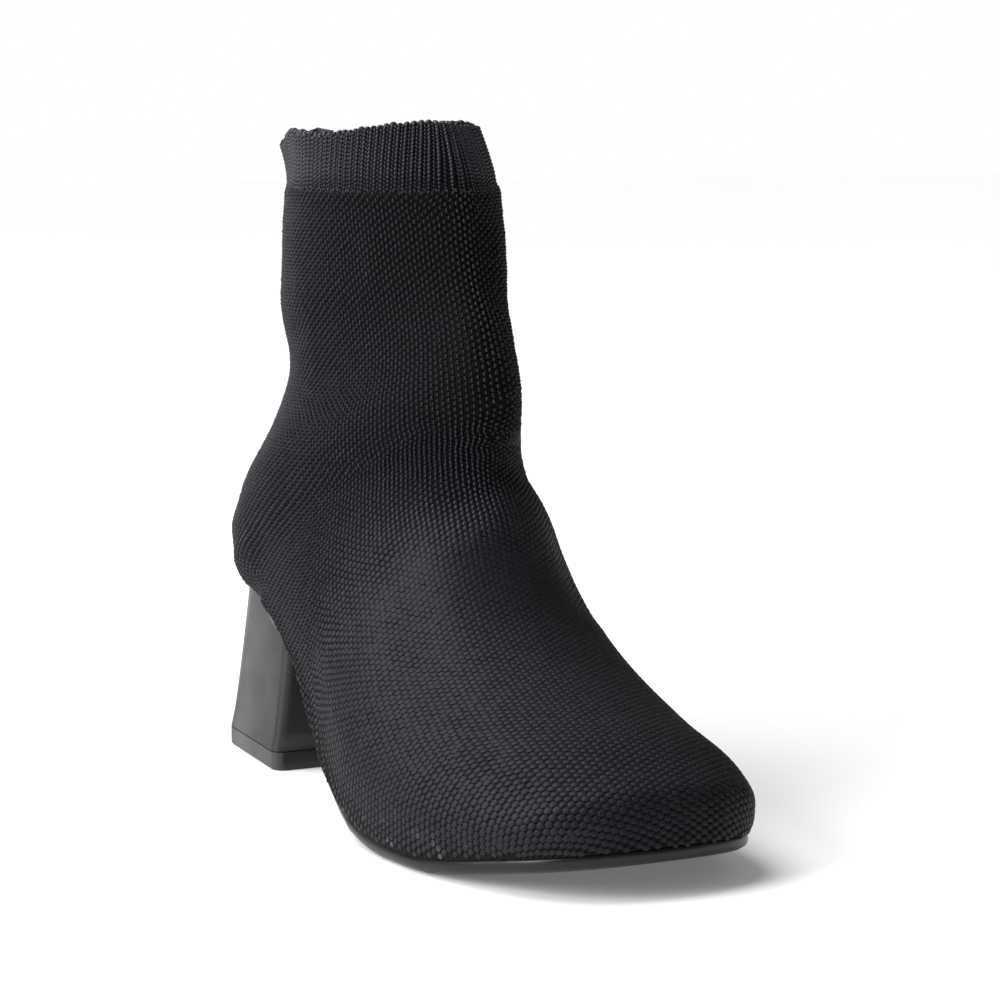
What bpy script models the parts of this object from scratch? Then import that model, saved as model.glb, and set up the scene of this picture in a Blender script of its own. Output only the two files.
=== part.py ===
"""Sweater boot for the right foot: a knitted upper with a rib cuff, a thin outsole and a flared block heel.

Metres, +Z up. +X points to the toe, +Y to the wearer's left, which is the medial side.
The origin is the middle of the heel tip's ground face.
"""

import math

import bmesh
import bpy
from mathutils import Vector

# Sizes of the last
foot_length = 0.2300  # back of the heel curve to the toe tip
ball_width = 0.0845  # sole line across the ball
seat_width = 0.0540  # sole line across the heel seat
heel_rise = 0.0505  # lift of the heel seat over the ball
toe_spring = 0.0090  # lift of the toe tip over the ball
toe_height = 0.0190  # sole line at the toe tip to the top of the toe
instep_height = 0.0990  # floor to the instep ridge
boot_height = 0.1935  # floor to the collar
shaft_width = 0.0565  # across the shaft
shaft_length = 0.0960  # front to back of the shaft
shaft_setback = 0.0195  # back of the heel curve to the back of the shaft
heel_overhang = 0.0045  # how far the upper swells behind the heel seat
heel_set = 0.0055  # back of the heel tip to the back of the heel curve
heel_swell = 0.0060  # how far the upper swells beyond the sole line beside the heel
waist_swell = 0.0100  # the same on the medial side of the waist
ball_swell = 0.0028  # the same round the forefoot
toe_swing = 0.0060  # how far the toe tip lies to the medial side

# Sizes of the construction
knit_wall = 0.0022
cuff_height = 0.0185
cuff_step = 0.0006  # how far the rib lies inside the knit below it
lasting_margin = 0.0110  # width of the upper turned under the last
gap = 0.0003  # clearance between touching pieces
rim_dip = 0.0030  # the rim's sides lie this much below its front and back
sole_thickness = 0.0045
sole_reach = 0.0014  # how far the outsole's edge stands out from the sole line
sole_round = 0.0036  # how far the outsole's underside lies inside its edge
insole_thickness = 0.0026
insole_play = 0.0018  # room between the insole's edge and the wall
insole_seat = 0.0006  # clearance under the insole, over the turned margin
tip_thickness = 0.0056
heel_length = 0.0460  # along the heel tip
heel_width = 0.0570  # across the front of the heel tip
heel_back_width = 0.0520  # across the back of the heel tip
heel_top_inset = 0.0026  # sole line to the edge of the heel's top
heel_corner = 0.0034  # corner radius of the heel tip
seat_corner = 0.0150  # radius of the back corners at the heel's top
tab_width = 0.0130
tab_length = 0.0160  # down inside the collar
tab_thickness = 0.0009
tab_rise = 0.0018  # how far the tab stands over the collar

# Places that follow from the sizes
heel_back = -0.5 * heel_length - heel_set
toe_tip = heel_back + foot_length
seat_back = heel_back + heel_overhang
shaft_back = heel_back + shaft_setback
shaft_front = shaft_back + shaft_length
margin_level = sole_thickness + gap  # underside of the turned margin at the ball
seat_level = margin_level + heel_rise
toe_level = margin_level + toe_spring
cuff_level = boot_height - cuff_height
breast = 0.5 * heel_length
seat_round_end = 0.130  # share of the length where the heel seat starts to round
toe_round_start = 0.907  # share of the length where the toe starts to round

# Shapes of the curves
SEAT_SQUARE = 2.2  # superellipse power of the heel seat
TOE_BLUNT = 0.76  # power of the sine and cosine round the toe, under 1 for a square toe
TOE_TAPER = 0.20  # share of its width that the toe loses between its corners and its tip
HEEL_FLARE = 0.80  # power under 1 for a heel that narrows sooner
TIP_ROUND = 0.0006

# Counts of the meshes
HALF_POINTS = 20  # spans from the sole line to the ridge
SPANS = 2  # between two rows of the tables
SPREAD = 1.2  # over 1 draws the points together near the sole
DENSE = 120  # steps of a curve before it is spread evenly
SIDE_STATIONS = 24  # along the side of a sole
TOE_STATIONS = 9
SEAT_STATIONS = 7
CORNER_STEPS = 5
EDGE_STEPS = 4
HEEL_RINGS = 8
TAB_COLUMNS = 6

# The sole line. Half widths are shares of half the seat width, which turns into half the ball width
# between the rows at 0.22 and 0.63. Rise and spring are shares of heel_rise and toe_spring.
SOLE_LINE = (
    # along, lateral, medial, rise, spring
    (0.000, 1.00, 0.95, 1.000, 0.00),
    (0.130, 1.02, 0.96, 0.975, 0.00),
    (0.220, 1.06, 0.97, 0.905, 0.00),
    (0.320, 0.98, 0.78, 0.715, 0.00),
    (0.430, 0.99, 0.69, 0.445, 0.00),
    (0.530, 1.03, 0.75, 0.205, 0.00),
    (0.630, 1.03, 0.85, 0.045, 0.00),
    (0.700, 1.03, 0.93, 0.000, 0.00),
    (0.775, 1.00, 0.95, 0.000, 0.00),
    (0.840, 0.92, 0.92, 0.000, 0.20),
    (0.907, 0.78, 0.84, 0.000, 0.52),
)

# Rows of the foot, from the toe tip to the back of the seat. Each is a slanting section whose two ends
# stand on the sole line at end, and whose ridge lies at ridge, both shares of foot_length.
# toe and instep give the ridge's height as shares of toe_height and of the rise from there to the instep.
# ball, waist and heel say which swell widens it, lateral first; wide is where along its height.
FOOT_ROWS = (
    # end, ridge, toe, instep, ball, waist, heel, wide, crest, blunt, fold
    (0.907, 1.000, 0.00, 0.000, 0.00, 0.00, 0.00, 0.00, 1.00, 0.76, 1.00),
    (0.901, 1.002, 0.30, 0.000, 0.25, 0.00, 0.00, 0.12, 1.00, 0.78, 1.00),
    (0.890, 0.988, 0.68, 0.000, 0.50, 0.00, 0.00, 0.24, 1.00, 0.82, 1.00),
    (0.870, 0.952, 0.92, 0.000, 0.75, 0.00, 0.00, 0.30, 1.00, 0.88, 1.00),
    (0.836, 0.895, 1.00, 0.065, 0.90, 0.00, 0.00, 0.33, 0.98, 0.94, 1.00),
    (0.775, 0.813, 1.00, 0.150, 1.00, 0.05, 0.00, 0.33, 0.92, 1.00, 1.00),
    (0.700, 0.737, 1.00, 0.255, 1.00, 0.25, 0.00, 0.32, 0.85, 1.04, 1.00),
    (0.600, 0.665, 1.00, 0.410, 0.90, 0.65, 0.05, 0.32, 0.78, 1.06, 1.00),
    (0.480, 0.624, 1.00, 0.610, 0.65, 1.00, 0.20, 0.33, 0.70, 1.08, 1.00),
    (0.360, 0.606, 1.00, 0.780, 0.40, 0.90, 0.50, 0.35, 0.64, 1.10, 1.00),
    (0.240, 0.582, 1.00, 0.905, 0.15, 0.50, 0.80, 0.37, 0.60, 1.12, 0.96),
    (0.130, 0.569, 1.00, 1.000, 0.00, 0.20, 1.00, 0.39, 0.60, 1.15, 0.90),
    (0.080, 0.568, 1.00, 1.055, 0.00, 0.15, 1.02, 0.40, 0.60, 1.17, 0.84),
    (0.045, 0.568, 1.00, 1.105, 0.00, 0.12, 1.03, 0.40, 0.60, 1.18, 0.76),
    (0.027, 0.569, 1.00, 1.140, 0.00, 0.10, 1.03, 0.41, 0.60, 1.19, 0.70),
)

# Rows of the heel and the shaft, from the back of the seat to the collar. back is a share of
# shaft_setback behind the shaft, front a share of the way from the shaft's front to the instep.
# level and front_level are shares of the height up to the cuff, from the seat and from the instep;
# over 1 they run on to the collar. seat and shaft give the half widths.
SHAFT_ROWS = (
    # back, level, front, front_level, seat, shaft, lean, wide, crest, blunt, fold
    (0.78, 0.00, 1.00, 0.170, 1.228, 0.000, 0.005, 0.41, 0.60, 1.20, 0.62),
    (0.98, 0.075, 0.98, 0.250, 1.205, 0.000, 0.010, 0.42, 0.60, 1.22, 0.66),
    (1.00, 0.160, 0.92, 0.335, 0.88, 0.270, -0.010, 0.43, 0.62, 1.25, 0.82),
    (0.84, 0.255, 0.78, 0.425, 0.42, 0.590, -0.050, 0.45, 0.64, 1.28, 1.00),
    (0.48, 0.350, 0.60, 0.515, 0.13, 0.790, -0.075, 0.47, 0.66, 1.32, 1.12),
    (0.14, 0.445, 0.36, 0.600, 0.03, 0.870, -0.080, 0.48, 0.68, 1.35, 1.20),
    (-0.08, 0.540, 0.20, 0.685, 0.00, 0.910, -0.075, 0.49, 0.70, 1.35, 1.22),
    (-0.02, 0.660, 0.10, 0.780, 0.00, 0.955, -0.050, 0.50, 0.70, 1.35, 1.16),
    (-0.06, 0.780, 0.05, 0.865, 0.00, 0.965, -0.060, 0.51, 0.70, 1.32, 1.18),
    (-0.13, 0.900, 0.00, 0.940, 0.00, 0.965, -0.060, 0.51, 0.62, 1.25, 1.20),
    (-0.20, 0.990, -0.06, 0.990, 0.00, 0.960, -0.055, 0.52, 0.50, 1.18, 1.20),
)

# Rows of the rib cuff. up is a share of cuff_height, and back and front are as above.
CUFF_ROWS = (
    # back, front, up, lateral, medial, crest, blunt, fold, dip
    (-0.21, -0.09, 0.04, 0.905, 1.010, 0.48, 1.17, 1.20, 0.00),
    (-0.20, -0.20, 0.35, 0.900, 0.985, 0.38, 1.15, 1.25, 0.25),
    (-0.08, -0.36, 0.70, 0.905, 0.955, 0.28, 1.12, 1.35, 0.65),
    (0.10, -0.52, 1.00, 0.920, 0.930, 0.20, 1.10, 1.50, 1.00),
)


def smooth_between(keys, values, at):
    """Monotone cubic through the keys: it never overshoots and keeps a flat stretch flat."""
    at = min(max(at, keys[0]), keys[-1])
    steps = [(values[i + 1] - values[i]) / (keys[i + 1] - keys[i]) for i in range(len(keys) - 1)]
    slopes = [steps[0]]
    for before, after in zip(steps, steps[1:]):
        slopes.append(2 * before * after / (before + after) if before * after > 0 else 0.0)
    slopes.append(steps[-1])
    i = max(k for k in range(len(keys) - 1) if keys[k] <= at)
    span = keys[i + 1] - keys[i]
    t = (at - keys[i]) / span
    bend = slopes[i] * span * t * (1 - t) ** 2 - slopes[i + 1] * span * t * t * (1 - t)
    return values[i] + (values[i + 1] - values[i]) * t * t * (3 - 2 * t) + bend


def mix(start, end, share):
    return start + (end - start) * share


def clamp(value, low=0.0, high=1.0):
    return min(max(value, low), high)


def sole_row(along):
    """Half widths and height of the sole line at a share of the foot length."""
    keys = [row[0] for row in SOLE_LINE]
    lateral, medial, rise, spring = (
        smooth_between(keys, [row[c] for row in SOLE_LINE], along) for c in range(1, 5)
    )
    half = 0.5 * mix(seat_width, ball_width, clamp((along - 0.22) / 0.41))
    level = margin_level + rise * heel_rise + spring * toe_spring
    if along > toe_round_start:
        level = mix(level, toe_level, (along - toe_round_start) / (1 - toe_round_start))
    return lateral * half, medial * half, level


def centre_y(along):
    """The foot's centre line swings to the medial side towards the toe."""
    return toe_swing * clamp((along - 0.40) / 0.60) ** 2


def along_of(x):
    return (x - heel_back) / foot_length


def x_at(along):
    return heel_back + along * foot_length


def sole_level(x):
    return sole_row(clamp(along_of(x), 0.0, 1.0))[2]


def sole_half_width(x, side):
    """Half width of the sole line at x: side -1 is lateral, 1 is medial."""
    along = along_of(x)
    wide = sole_row(clamp(along, 0.0, toe_round_start))[0 if side < 0 else 1]
    if along < seat_round_end:
        start = x_at(seat_round_end)
        share = clamp((start - x) / (start - seat_back))
        wide *= (1 - share**SEAT_SQUARE) ** (1 / SEAT_SQUARE)
    if along > toe_round_start:
        share = clamp((along - toe_round_start) / (1 - toe_round_start))
        cosine = math.sqrt(1 - share ** (2 / TOE_BLUNT))
        wide *= (1 - TOE_TAPER * share) * cosine**TOE_BLUNT
    return wide


def foot_row(end, ridge, toe, instep, ball, waist, heel, wide, crest, blunt, fold):
    """A row of FOOT_ROWS in metres."""
    lateral, medial, level = sole_row(end)
    swell = ball * ball_swell + heel * heel_swell
    top = mix(toe_level + toe * toe_height, instep_height, instep)
    return {
        "end": Vector((x_at(end), centre_y(end), level)),
        "ridge": Vector((x_at(ridge), crest * toe_swing, top)),
        "ends": (lateral, medial),
        "halves": (lateral + swell, medial + swell + waist * waist_swell),
        "wide": wide,
        "blunt": blunt,
        "fold": fold,
        "taper": TOE_TAPER * clamp(1 - toe),
        "dip": 0.0,
    }


def shaft_row(back, level, front, front_level, seat, shaft, lean, wide, crest, blunt, fold):
    """A row of SHAFT_ROWS in metres."""
    half = 0.5 * (seat * seat_width + shaft * shaft_width)
    shift = 0.5 * lean * shaft_width
    back_z = mix(seat_level, cuff_level, level)
    front_z = mix(instep_height, cuff_level, front_level)
    front_x = mix(shaft_front, x_at(0.569), front)
    return {
        "end": Vector((shaft_back - back * shaft_setback, 0.0, back_z)),
        "ridge": Vector((front_x, crest * toe_swing, front_z)),
        "ends": (0.0, 0.0),
        "halves": (half + shift, half - shift),
        "wide": wide,
        "blunt": blunt,
        "fold": fold,
        "taper": 0.0,
        "dip": 0.0,
    }


def cuff_row(back, front, up, lateral, medial, crest, blunt, fold, dip):
    """A row of CUFF_ROWS in metres, a step inside the knit."""
    level = cuff_level + up * cuff_height
    half = 0.5 * shaft_width - cuff_step
    front_x = mix(shaft_front, x_at(0.569), front) - cuff_step
    return {
        "end": Vector((shaft_back - back * shaft_setback + cuff_step, 0.0, level)),
        "ridge": Vector((front_x, crest * toe_swing, level)),
        "ends": (0.0, 0.0),
        "halves": (lateral * half, medial * half),
        "wide": 0.52,
        "blunt": blunt,
        "fold": fold,
        "taper": 0.0,
        "dip": dip * rim_dip,
    }


def all_rows():
    """Every row of the upper from the toe tip to the collar, with smooth rows added between."""
    foot = [foot_row(*row) for row in FOOT_ROWS]
    shaft = [shaft_row(*row) for row in SHAFT_ROWS]
    shaft[0]["end"].x = seat_back
    cuff = [cuff_row(*row) for row in CUFF_ROWS]
    return refine(foot + shaft) + refine(cuff)


def refine(rows):
    """Adds SPANS - 1 smooth rows between each two."""
    plain = ("wide", "blunt", "fold", "taper", "dip")
    flat = [
        [*row["end"], *row["ridge"], *row["ends"], *row["halves"], *(row[key] for key in plain)]
        for row in rows
    ]
    keys = list(range(len(rows)))
    fine = []
    for step in range(SPANS * (len(rows) - 1) + 1):
        values = [smooth_between(keys, [row[c] for row in flat], step / SPANS) for c in range(len(flat[0]))]
        row = {
            "end": Vector(values[0:3]),
            "ridge": Vector(values[3:6]),
            "ends": (values[6], values[7]),
            "halves": (values[8], values[9]),
            **dict(zip(plain, values[10:])),
        }
        if min(row["ends"]) > 0:
            seat_on_sole_line(row)
        fine.append(row)
    return fine


def seat_on_sole_line(row):
    """Puts the ends of a foot row exactly on the sole line."""
    x = row["end"].x
    row["end"].y = centre_y(along_of(x))
    row["end"].z = sole_level(x)
    row["ends"] = tuple(sole_half_width(x, side) for side in (-1, 1))


def half_section(row, side):
    """Dense points of one half of a section, from its end on the sole line or back seam to its ridge."""
    wide = row["wide"]
    foot = row["ends"][0 if side < 0 else 1]
    half = row["halves"][0 if side < 0 else 1]
    points = []
    if wide > 0:
        for i in range(DENSE):
            turn = 0.5 * math.pi * i / DENSE
            across = foot + (half - foot) * math.sin(turn) ** row["fold"]
            up = wide * (1 - math.cos(turn))
            points.append(section_point(row, up, side * across, 0.0))
    for i in range(DENSE + 1):
        turn = 0.5 * math.pi * i / DENSE
        rise = math.sin(turn) ** min(row["blunt"], 1.0)
        up = wide + (1 - wide) * rise
        across = half * (1 - row["taper"] * rise) * abs(math.cos(turn)) ** row["blunt"]
        points.append(section_point(row, up, side * across, rise))
    return points


def section_point(row, up, across, rise):
    """A point of a section: up runs from its end to its ridge, and rise shifts it to the ridge's side."""
    place = row["end"].lerp(row["ridge"], up)
    middle = mix(row["end"].y, row["ridge"].y, rise)
    return Vector((place.x, middle + across, place.z - row["dip"] * 4 * up * (1 - up)))


def spread(points, spans):
    """The same curve with its points spread along it, closer together near the sole."""
    lengths = [0.0]
    for before, after in zip(points, points[1:]):
        lengths.append(lengths[-1] + (after - before).length)
    placed = []
    i = 0
    for step in range(spans + 1):
        target = lengths[-1] * (step / spans) ** SPREAD
        while i < len(points) - 2 and lengths[i + 1] < target:
            i += 1
        share = (target - lengths[i]) / max(lengths[i + 1] - lengths[i], 1e-9)
        placed.append(points[i].lerp(points[i + 1], clamp(share)))
    return placed


def section(row):
    """A whole section, from the lateral end over the ridge to the medial end."""
    lateral = spread(half_section(row, -1), HALF_POINTS)
    medial = spread(half_section(row, 1), HALF_POINTS)
    return lateral + medial[-2::-1]


def material(name, colour, roughness):
    look = bpy.data.materials.new(name)
    look.use_nodes = True
    shader = look.node_tree.nodes["Principled BSDF"]
    shader.inputs["Base Color"].default_value = (*colour, 1.0)
    shader.inputs["Roughness"].default_value = roughness
    shader.inputs["Metallic"].default_value = 0.0
    return look


def add_object(name, bm, look, sort_normals=True):
    if sort_normals:
        bmesh.ops.recalc_face_normals(bm, faces=bm.faces)
    mesh = bpy.data.meshes.new(name)
    bm.to_mesh(mesh)
    bm.free()
    mesh.materials.append(look)
    mesh.shade_smooth()
    mesh.set_sharp_from_angle(angle=math.radians(40))
    obj = bpy.data.objects.new(name, mesh)
    bpy.context.collection.objects.link(obj)
    return obj


def thicken(obj, thickness):
    """Gives a sheet its wall, inwards."""
    wall = obj.modifiers.new("wall", "SOLIDIFY")
    wall.thickness = thickness
    wall.offset = -1.0
    wall.use_rim = True


def sheet_from_sections(sections):
    """A grid sheet laid over a list of sections with the same count of points."""
    bm = bmesh.new()
    rows, columns = len(sections), len(sections[0])
    bmesh.ops.create_grid(bm, x_segments=columns - 1, y_segments=rows - 1, size=0.5)
    for vert in bm.verts:
        column = round((vert.co.x + 0.5) * (columns - 1))
        row = round((vert.co.y + 0.5) * (rows - 1))
        vert.co = sections[row][column]
    return bm


def inward(vert):
    """Unit direction in plan from a boundary vertex of the sole line towards the foot's middle."""
    line = [edge for edge in vert.link_edges if edge.is_boundary]
    ends = [edge.other_vert(vert).co for edge in line]
    tangent = (ends[0] - ends[1]).to_2d().normalized()
    across = Vector((-tangent.y, tangent.x))
    middle = Vector((clamp(vert.co.x, 0.0, x_at(0.80)), centre_y(along_of(vert.co.x))))
    return across if across.dot(middle - vert.co.to_2d()) > 0 else -across


def build_upper(look):
    """The knitted upper: one sheet from the turned margin to the collar, with its wall."""
    bm = sheet_from_sections([section(row) for row in all_rows()])
    bmesh.ops.remove_doubles(bm, verts=bm.verts, dist=0.00005)
    sole_edges = [e for e in bm.edges if e.is_boundary and max(v.co.z for v in e.verts) < cuff_level]
    sole_verts = {vert for edge in sole_edges for vert in edge.verts}
    moves = {vert: inward(vert) for vert in sole_verts}
    made = bmesh.ops.extrude_edge_only(bm, edges=sole_edges)["geom"]
    for vert in (part for part in made if isinstance(part, bmesh.types.BMVert)):
        source = min(moves, key=lambda old: (old.co - vert.co).length)
        target = vert.co.to_2d() + lasting_margin * moves[source]
        vert.co = Vector((target.x, target.y, sole_level(target.x)))
    obj = add_object("upper", bm, look)
    thicken(obj, knit_wall)
    return obj


def sole_stations(start):
    """Places along the foot from start to the toe tip, closer together at the rounded ends."""
    places = []
    side_start = start
    if start < x_at(seat_round_end):
        side_start = x_at(seat_round_end)
        for i in range(SEAT_STATIONS):
            places.append(mix(start, side_start, 1 - math.cos(0.5 * math.pi * i / SEAT_STATIONS)))
    side_end = x_at(toe_round_start)
    for i in range(SIDE_STATIONS + 1):
        places.append(mix(side_start, side_end, i / SIDE_STATIONS))
    for i in range(1, TOE_STATIONS + 1):
        places.append(mix(side_end, toe_tip, math.sin(0.5 * math.pi * i / TOE_STATIONS) ** TOE_BLUNT))
    return places


def sole_loop(start, inset):
    """The sole line in plan, drawn in by inset: lateral side to the toe tip, then the medial side back."""
    lateral, medial = [], []
    for x in sole_stations(start):
        middle = centre_y(along_of(x))
        lateral.append(Vector((x, middle - sole_half_width(x, -1))))
        medial.append(Vector((x, middle + sole_half_width(x, 1))))
    loop = lateral + medial[-2::-1]
    closed = (loop[0] - loop[-1]).length < 0.0001
    if closed:
        loop.pop()
    moved = []
    for i, point in enumerate(loop):
        before, after = loop[i - 1], loop[(i + 1) % len(loop)]
        along = (after - before).normalized()
        across = Vector((-along.y, along.x))
        if not closed and i in (0, len(loop) - 1):
            across = Vector((0.0, 1.0 if i == 0 else -1.0))
        moved.append(point + inset * across)
    return moved


def skin_rings(rings, tip_pair):
    """Joins closed rings from the lowest to the highest and closes both ends with strips across them.

    tip_pair says that the first point of a ring has no partner on its other side.
    """
    bm = bmesh.new()
    loops = []
    for ring in rings:
        verts = [bm.verts.new(point) for point in ring]
        edges = [bm.edges.new((verts[i], verts[(i + 1) % len(verts)])) for i in range(len(verts))]
        loops.append((verts, edges))
    for (_, low), (_, high) in zip(loops, loops[1:]):
        bmesh.ops.bridge_loops(bm, edges=low + high)
    for verts, _ in (loops[0], loops[-1]):
        close_with_strips(bm, verts, tip_pair)
    return bm


def close_with_strips(bm, verts, tip_pair):
    """Fills a ring with faces that run straight across it, from one side to the other."""
    count = len(verts)
    first = 1 if tip_pair else 0
    left, right = first, count - 1
    if tip_pair:
        bm.faces.new((verts[0], verts[left], verts[right]))
    while right - left > 2:
        bm.faces.new((verts[left], verts[left + 1], verts[right - 1], verts[right]))
        left += 1
        right -= 1
    if right - left == 2:
        bm.faces.new((verts[left], verts[left + 1], verts[right]))


def build_outsole(look):
    """The outsole from the heel's breast to the toe, with a rounded edge."""
    start = breast + gap
    rings = []
    for i in range(EDGE_STEPS + 1):
        turn = 0.5 * math.pi * i / EDGE_STEPS
        inset = -sole_reach + (sole_reach + sole_round) * (1 - math.sin(turn)) ** 1.6
        drop = gap + sole_thickness * (1 - 0.75 * (1 - math.cos(turn)))
        rings.append([(p.x, p.y, sole_level(p.x) - drop) for p in sole_loop(start, inset)])
    rings.append([(p.x, p.y, sole_level(p.x) - gap) for p in sole_loop(start, -0.5 * sole_reach)])
    return add_object("outsole", skin_rings(rings, False), look)


def steepness(x):
    """How much longer a thickness measures straight up than square to the sole line's slope at x."""
    step = 0.001
    return math.hypot(1.0, (sole_level(x + step) - sole_level(x - step)) / (2 * step))


def build_insole(look):
    """The insole inside, lying on the turned margin from the seat to the toe."""
    inset = knit_wall + insole_play
    rings = []
    for share in (0, 1):
        ring = []
        for p in sole_loop(seat_back, inset):
            lift = insole_seat + (knit_wall + share * insole_thickness) * steepness(p.x)
            ring.append((p.x, p.y, sole_level(p.x) + lift))
        rings.append(ring)
    return add_object("insole", skin_rings(rings, True), look)


def heel_ring(back, front, back_half, front_half, back_radius, front_radius):
    """A rounded four-sided ring in plan, from the middle of its front round the lateral side."""
    ring = [Vector((front, 0.0))]
    for i in range(CORNER_STEPS + 1):
        turn = 0.5 * math.pi * i / CORNER_STEPS
        x = front - front_radius * (1 - math.cos(turn))
        ring.append(Vector((x, -(front_half - front_radius * (1 - math.sin(turn))))))
    for i in range(CORNER_STEPS + 1):
        turn = 0.5 * math.pi * i / CORNER_STEPS
        x = back + back_radius * (1 - math.sin(turn))
        ring.append(Vector((x, -(back_half - back_radius * (1 - math.cos(turn))))))
    ring.append(Vector((back, 0.0)))
    return ring + [Vector((p.x, -p.y)) for p in ring[-2:0:-1]]


def tip_ring(inset):
    half = 0.5 * heel_length - inset
    sides = 0.5 * heel_back_width - inset, 0.5 * heel_width - inset
    radius = heel_corner
    return heel_ring(-half, half, *sides, radius, radius)


def build_heel(look):
    """The heel block: it flares from its seat under the upper down to the tip."""
    low = tip_ring(0.0)
    top_half = sole_half_width(0.0, 1) - heel_top_inset
    high = heel_ring(seat_back + heel_top_inset, breast, top_half, top_half, seat_corner, heel_corner)
    rings = []
    for i in range(HEEL_RINGS + 1):
        up = i / HEEL_RINGS
        spread_in = up**HEEL_FLARE
        ring = []
        for foot, seat in zip(low, high):
            place = foot.lerp(seat, spread_in)
            top = sole_level(seat.x) - gap
            ring.append((place.x, place.y, mix(tip_thickness + gap, top, up)))
        rings.append(ring)
    return add_object("heel", skin_rings(rings, True), look)


def build_heel_tip(look):
    """The tip under the heel, with a small round at the ground."""
    rings = [[(p.x, p.y, level) for p in tip_ring(inset)] for inset, level in (
        (TIP_ROUND, 0.0),
        (0.0, TIP_ROUND),
        (0.0, tip_thickness),
    )]
    return add_object("heel_tip", skin_rings(rings, True), look)


def build_pull_tab(look):
    """The tape inside the back of the collar, standing a little over the rim."""
    rows = refine([cuff_row(*row) for row in CUFF_ROWS])
    rows = [row for row in rows if row["end"].z > boot_height - tab_length]
    sections = []
    for row in rows:
        sections.append([back_point(row, tab_width * (i / TAB_COLUMNS - 0.5)) for i in range(TAB_COLUMNS + 1)])
    lean = [top - below for top, below in zip(sections[-1], sections[-2])]
    over = tab_rise / (sections[-1][0].z - sections[-2][0].z)
    sections.append([top + over * step for top, step in zip(sections[-1], lean)])
    bm = sheet_from_sections(sections)
    bm.normal_update()
    for vert in bm.verts:
        out = vert.normal if vert.normal.x < 0 else -vert.normal
        vert.co -= (knit_wall + gap) * out
    if next(iter(bm.faces)).normal.x > 0:
        bmesh.ops.reverse_faces(bm, faces=bm.faces)
    obj = add_object("pull_tab", bm, look, sort_normals=False)
    thicken(obj, tab_thickness)
    return obj


def back_point(row, reach):
    """The point of a closed section that lies reach round from its back."""
    points = half_section(row, -1 if reach < 0 else 1)
    left = abs(reach)
    for before, after in zip(points, points[1:]):
        step = (after - before).length
        if step >= left:
            return before.lerp(after, left / step)
        left -= step
    return points[-1]


def build():
    for obj in list(bpy.data.objects):
        bpy.data.objects.remove(obj, do_unlink=True)
    build_upper(material("black_knit", (0.014, 0.014, 0.016), 0.85))
    build_outsole(material("dark_sole", (0.030, 0.030, 0.033), 0.50))
    build_insole(material("black_lining", (0.020, 0.020, 0.022), 0.80))
    build_heel(material("black_heel", (0.035, 0.035, 0.035), 0.42))
    build_heel_tip(material("black_tip", (0.045, 0.045, 0.046), 0.50))
    build_pull_tab(material("grey_tape", (0.080, 0.080, 0.085), 0.60))


build()
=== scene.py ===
# %% [markdown]
# # A knitted ankle boot
# The boot is one knitted sock on a block heel. The solid model gives its form and is loaded first as a fixed frame.
# Everything made below is a finer skin, a finish or a small detail that lies on that form, in metres, where it belongs.

# %% Load the solid model
import math

import bmesh
import bpy
import numpy as np
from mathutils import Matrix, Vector
from mathutils.bvhtree import BVHTree
from mathutils.geometry import barycentric_transform


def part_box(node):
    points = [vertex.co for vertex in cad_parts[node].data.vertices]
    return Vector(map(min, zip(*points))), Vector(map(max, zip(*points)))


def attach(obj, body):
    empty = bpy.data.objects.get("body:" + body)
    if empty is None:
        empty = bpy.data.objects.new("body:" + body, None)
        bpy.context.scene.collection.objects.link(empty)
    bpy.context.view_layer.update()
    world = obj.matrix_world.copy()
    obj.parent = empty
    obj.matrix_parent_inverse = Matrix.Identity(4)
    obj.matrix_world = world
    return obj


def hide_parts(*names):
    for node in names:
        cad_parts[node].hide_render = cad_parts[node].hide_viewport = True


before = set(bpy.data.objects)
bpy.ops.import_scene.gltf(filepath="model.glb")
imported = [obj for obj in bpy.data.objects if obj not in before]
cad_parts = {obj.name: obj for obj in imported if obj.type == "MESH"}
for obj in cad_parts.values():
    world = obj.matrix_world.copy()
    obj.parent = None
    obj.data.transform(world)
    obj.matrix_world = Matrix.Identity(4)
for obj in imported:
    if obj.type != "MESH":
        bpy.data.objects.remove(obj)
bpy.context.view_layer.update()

mm = 0.001

# %% [markdown]
# ## Camera
# A boot is photographed from about a metre with a long lens, so that heel and toe keep their proportions.
# The camera stands a little above the collar and well round towards the toe, and is turned until the one boot stands
# in the middle of the picture. Only the eye's place sets the perspective, so that turn changes no proportion.

# %% Camera
eye = Vector((0.8627, -0.3596, 0.2005))
azimuth, elevation = math.radians(64.2), math.radians(7.487)
lens, film_width = 110.35, 36
reach = math.cos(elevation)
back = Vector((math.sin(azimuth) * reach, -math.cos(azimuth) * reach, math.sin(elevation)))

camera = bpy.data.objects.new("camera", bpy.data.cameras.new("camera"))
bpy.context.collection.objects.link(camera)
camera.location = eye
camera.rotation_mode = "QUATERNION"
camera.rotation_quaternion = (-back).to_track_quat("-Z", "Y")
camera.data.lens, camera.data.sensor_width = lens, film_width
camera.data.dof.use_dof = False
bpy.context.scene.camera = camera
bpy.context.scene.view_settings.view_transform = "Standard"
print("camera", round(eye.length, 3), "m from the heel")

# %% [markdown]
# ## Materials as sums
# A finish is a small program: it takes a place on the surface and works out a colour, a gloss and a height.
# Writing each Math node by hand hides that, so one class wraps a socket and lets Python's own signs add the nodes.

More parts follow.
